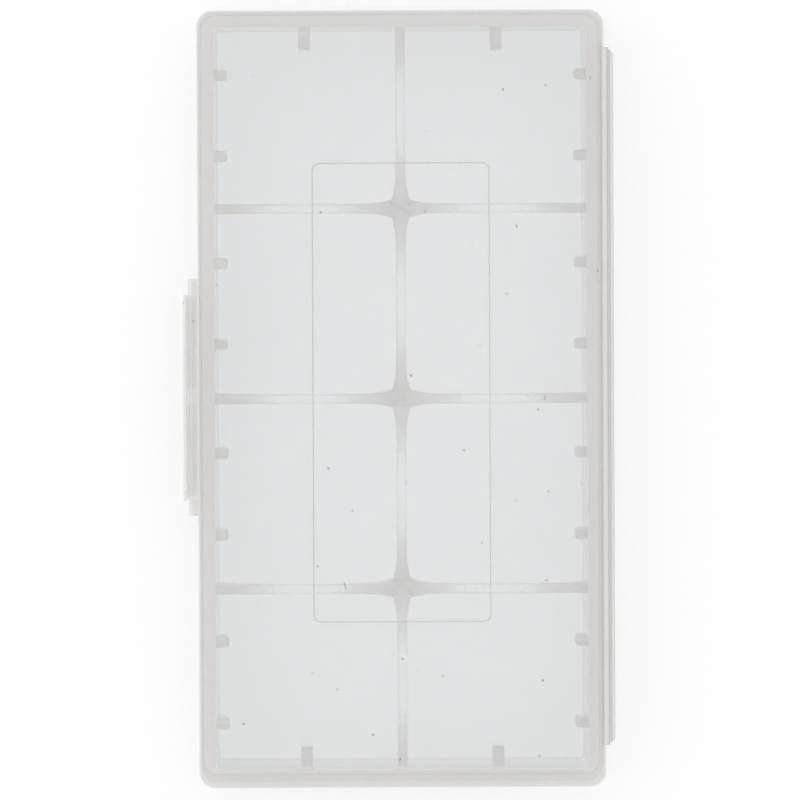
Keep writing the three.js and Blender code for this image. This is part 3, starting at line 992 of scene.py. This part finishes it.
def polypropylene(name, looks, near, deep, share=1.0):
    """Natural polypropylene, satin as moulded: a milky skin, and a warm tint where the resin is deep."""
    material = bpy.data.materials.new(name)
    material.use_nodes = True
    finish = Finish(material.node_tree)
    place = finish.field("ShaderNodeTexCoord", output="Object")
    grain = finish.field(
        "ShaderNodeTexNoise", inputs={"Vector": place, "Scale": looks.grain_scale, "Detail": 3.0}
    )
    flow = finish.field(
        "ShaderNodeTexNoise", inputs={"Vector": place, "Scale": looks.flow_scale, "Detail": 2.0}
    )
    cloud = flow - 0.5
    bump = finish.field(
        "ShaderNodeBump",
        inputs={"Strength": looks.grain_strength, "Distance": looks.grain_height, "Height": grain},
    )

    # Faces that slant away from the plates are hazier
    direction = finish.field("ShaderNodeTexCoord", output="Normal")
    upright = finish.field("ShaderNodeSeparateXYZ", inputs={0: direction}, output="Z")
    slant = 1 - finish.field("ShaderNodeMath", {"operation": "ABSOLUTE"}, {0: upright})
    tilted = finish.field(
        "ShaderNodeMapRange",
        {"interpolation_type": "SMOOTHSTEP"},
        {
            "Value": slant,
            "From Min": looks.slant_start,
            "From Max": looks.slant_end,
            "To Max": looks.slant_haze,
        },
    )
    skin = share * (looks.haze + tilted)

    # The colour changes with the distance from the plates
    height = finish.field("ShaderNodeSeparateXYZ", inputs={0: place}, output="Z")
    inside = finish.least(height - FLOOR * MILLIMETRE, CEILING * MILLIMETRE - height)
    depth_share = finish.field("ShaderNodeMapRange", inputs={"Value": inside, "From Max": looks.deep_run})
    body = finish.mixed(depth_share, (*near, 1.0), (*deep, 1.0))

    # Specks, and scratches that are specks drawn out along the case
    specks = finish.field("ShaderNodeTexVoronoi", inputs={"Vector": place, "Scale": looks.speck_scale})
    sway = finish.field(
        "ShaderNodeTexNoise", inputs={"Vector": place, "Scale": looks.sway_scale}, output="Color"
    )
    bent = finish.field(
        "ShaderNodeVectorMath",
        {"operation": "MULTIPLY_ADD"},
        {0: sway, 1: (looks.scratch_sway,) * 3, 2: place},
    )
    drawn = finish.field(
        "ShaderNodeMapping", inputs={"Vector": bent, "Scale": (1.0, 1 / looks.scratch_length, 1.0)}
    )
    scratches = finish.field("ShaderNodeTexVoronoi", inputs={"Vector": drawn, "Scale": looks.scratch_scale})
    marks = finish.least(specks - looks.speck_size, scratches - looks.scratch_size)
    dust = finish.field("ShaderNodeMath", {"operation": "LESS_THAN"}, {0: marks, 1: 0.0})

    surface = finish.field(
        "ShaderNodeBsdfPrincipled",
        inputs={
            "Base Color": finish.mixed(dust, body, (*looks.dust, 1.0)),
            "Roughness": looks.roughness + looks.flow_gloss * cloud,
            "IOR": looks.index,
            "Alpha": skin + looks.flow_haze * cloud + looks.dust_cover * dust,
            "Normal": bump,
        },
    )
    tint = finish.field(
        "ShaderNodeVolumeAbsorption",
        inputs={"Color": (*looks.depth_tint, 1.0), "Density": looks.depth_density},
    )
    finish.node("ShaderNodeOutputMaterial", inputs={"Surface": surface, "Volume": tint})
    return material


def clean_resin(looks):
    """The resin that the two halves are moulded in."""
    return bpy.data.materials.get(RESIN) or polypropylene(RESIN, looks, looks.resin, looks.deep_resin)


def thin_resin(looks):
    """The same resin where it is thin enough to be clearer."""
    found = bpy.data.materials.get(THIN_RESIN)
    return found or polypropylene(THIN_RESIN, looks, looks.resin, looks.deep_resin, looks.thin_share)


def painted_shade_resin(looks):
    """The same resin with painted shade, for the panel's step, the flap's tail and the hinge film."""
    shade_colour = looks.painted_shade_resin
    return bpy.data.materials.get(PAINTED_SHADE_RESIN) or polypropylene(PAINTED_SHADE_RESIN, looks, shade_colour, shade_colour)


# Operators


class CASE_OT_lower_half(bpy.types.Operator):
    """Model the plain lower half with its catch and hinge leaf"""

    bl_idname = "case.lower_half"
    bl_label = "Lower Half"

    def execute(self, context):
        bm = lower_moulding(in_millimetres(context.scene.case_sizes))
        piece = make_piece(bm, "lower_moulding", clean_resin(context.scene.case_looks))
        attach(piece, "lower_half")
        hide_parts("lower_shell", "catch_ledge", "lower_hinge_leaf")
        return {"FINISHED"}


class CASE_OT_upper_half(bpy.types.Operator):
    """Model the upper half with its ribs, end stops, sunk panel and hinge leaf"""

    bl_idname = "case.upper_half"
    bl_label = "Upper Half"

    def execute(self, context):
        looks = context.scene.case_looks
        bm = upper_moulding(in_millimetres(context.scene.case_sizes))
        # The second material paints shade on the panel's step
        piece = make_piece(bm, "upper_moulding", clean_resin(looks), painted_shade_resin(looks))
        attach(piece, "upper_half")
        upper_nodes = frame["record"]["behaviour"]["bodies"]["upper_half"]
        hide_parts(*upper_nodes)
        return {"FINISHED"}


class CASE_OT_hinge_film(bpy.types.Operator):
    """Model the thin film that joins the two hinge leaves"""

    bl_idname = "case.hinge_film"
    bl_label = "Hinge Film"

    def execute(self, context):
        sizes = in_millimetres(context.scene.case_sizes)
        # The film takes the painted-shade resin, whose colour paints shade on it
        piece = make_piece(film_moulding(sizes), "film", painted_shade_resin(context.scene.case_looks))
        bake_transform(piece)
        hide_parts("hinge_film")
        return {"FINISHED"}


class CASE_OT_latch_flap(bpy.types.Operator):
    """Model the latch flap with its web and split hook"""

    bl_idname = "case.latch_flap"
    bl_label = "Latch Flap"

    def execute(self, context):
        sizes = in_millimetres(context.scene.case_sizes)
        looks = context.scene.case_looks
        # The second material paints shade on the flap's tail
        piece = make_piece(flap_moulding(sizes), "flap", thin_resin(looks), painted_shade_resin(looks))
        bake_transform(piece)
        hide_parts("latch_flap")
        return {"FINISHED"}


class CASE_OT_stage(bpy.types.Operator):
    """Set up the floor, the soft light and the camera"""

    bl_idname = "case.stage"
    bl_label = "Stage"

    def execute(self, context):
        stage = context.scene.case_stage
        make_floor(context, stage)
        make_light(context, stage)
        make_camera(context, stage)
        context.scene.view_settings.view_transform = "Standard"
        context.scene.cycles.transparent_max_bounces = stage.skins
        return {"FINISHED"}


def seen_directly(finish):
    """1 for rays that show a thing to the camera, straight or by gloss or glass, and 0 for others."""
    path = finish.node("ShaderNodeLightPath")
    names = ("Is Camera Ray", "Is Glossy Ray", "Is Transmission Ray")
    camera, gloss, glass = (Field(finish, path.outputs[name]) for name in names)
    return finish.most(camera, finish.most(gloss, glass))


def make_floor(context, stage):
    """A wide sheet of white paper under the case."""
    bm = bmesh.new()
    bmesh.ops.create_grid(bm, x_segments=1, y_segments=1, size=stage.paper_reach)
    bmesh.ops.translate(bm, vec=(0, 0, -stage.paper_drop), verts=bm.verts)
    mesh = bpy.data.meshes.new("paper")
    bm.to_mesh(mesh)
    bm.free()
    material = bpy.data.materials.new("paper")
    material.use_nodes = True
    finish = Finish(material.node_tree)
    matt = finish.field("ShaderNodeBsdfDiffuse", inputs={"Color": (*stage.paper, 1.0)})
    glow = finish.field("ShaderNodeEmission", inputs={"Color": WHITE, "Strength": 1.0})
    share = stage.paper_glow * seen_directly(finish)
    both = finish.field("ShaderNodeMixShader", inputs={0: share, 1: matt, 2: glow})
    finish.node("ShaderNodeOutputMaterial", inputs={"Surface": both})
    mesh.materials.append(material)
    paper = bpy.data.objects.new("paper", mesh)
    context.scene.collection.objects.link(paper)


def make_light(context, stage):
    """An even white surround and one large soft lamp."""
    world = bpy.data.worlds.new("studio")
    context.scene.world = world
    world.use_nodes = True
    finish = Finish(world.node_tree)
    strength = stage.surround + (1 - stage.surround) * seen_directly(finish)
    surround = finish.field("ShaderNodeBackground", inputs={"Color": WHITE, "Strength": strength})
    finish.node("ShaderNodeOutputWorld", inputs={"Surface": surround})
    lamp = bpy.data.lights.new("softbox", "AREA")
    lamp.shape = "RECTANGLE"
    lamp.size = stage.lamp_size
    lamp.size_y = stage.lamp_size
    lamp.energy = stage.lamp_power
    softbox = bpy.data.objects.new("softbox", lamp)
    softbox.location = stage.lamp_place
    softbox.rotation_euler = (-softbox.location).to_track_quat("-Z", "Y").to_euler()
    context.scene.collection.objects.link(softbox)


def make_camera(context, stage):
    """A far camera straight above the case."""
    top = CAD_BOX[1].z
    middle = MIDDLE_X * MILLIMETRE
    place = Vector((middle + stage.camera_place[0], stage.camera_place[1], top + stage.camera_height))
    target = Vector((*stage.picture_middle, top))
    camera = bpy.data.objects.new("camera", bpy.data.cameras.new("camera"))
    camera.data.lens = camera.data.sensor_width * (place - target).length / stage.picture_width
    camera.data.clip_end = stage.camera_range
    camera.location = place
    back = (place - target).normalized()
    right = Vector((0, 1, 0)).cross(back).normalized()
    aim = Matrix((right, back.cross(right), back)).transposed()
    camera.rotation_euler = (aim @ Matrix.Rotation(stage.camera_roll, 3, "Z")).to_euler()
    context.scene.collection.objects.link(camera)
    context.scene.camera = camera


class CASE_PT_panel(bpy.types.Panel):
    """Lists the steps that make the case"""

    bl_idname = "CASE_PT_panel"
    bl_label = "Battery Case"
    bl_space_type = "VIEW_3D"
    bl_region_type = "UI"
    bl_category = "Battery Case"

    def draw(self, context):
        for operator in OPERATORS:
            self.layout.operator(operator.bl_idname)
        for name in GROUPS:
            group = getattr(context.scene, name)
            box = self.layout.box()
            for field in group.__annotations__:
                box.prop(group, field)


OPERATORS = (CASE_OT_stage, CASE_OT_lower_half, CASE_OT_upper_half, CASE_OT_hinge_film, CASE_OT_latch_flap)
GROUPS = {"case_sizes": CaseSizes, "case_looks": CaseLooks, "case_stage": StageSettings}


def register():
    for made in (*GROUPS.values(), *OPERATORS, CASE_PT_panel):
        bpy.utils.register_class(made)
    for name, group in GROUPS.items():
        setattr(bpy.types.Scene, name, bpy.props.PointerProperty(type=group))


def unregister():
    for name in GROUPS:
        delattr(bpy.types.Scene, name)
    for made in reversed((*GROUPS.values(), *OPERATORS, CASE_PT_panel)):
        bpy.utils.unregister_class(made)


def main():
    register()
    bpy.ops.case.stage()
    bpy.ops.case.lower_half()
    bpy.ops.case.upper_half()
    bpy.ops.case.hinge_film()
    bpy.ops.case.latch_flap()


if __name__ == "__main__":
    main()
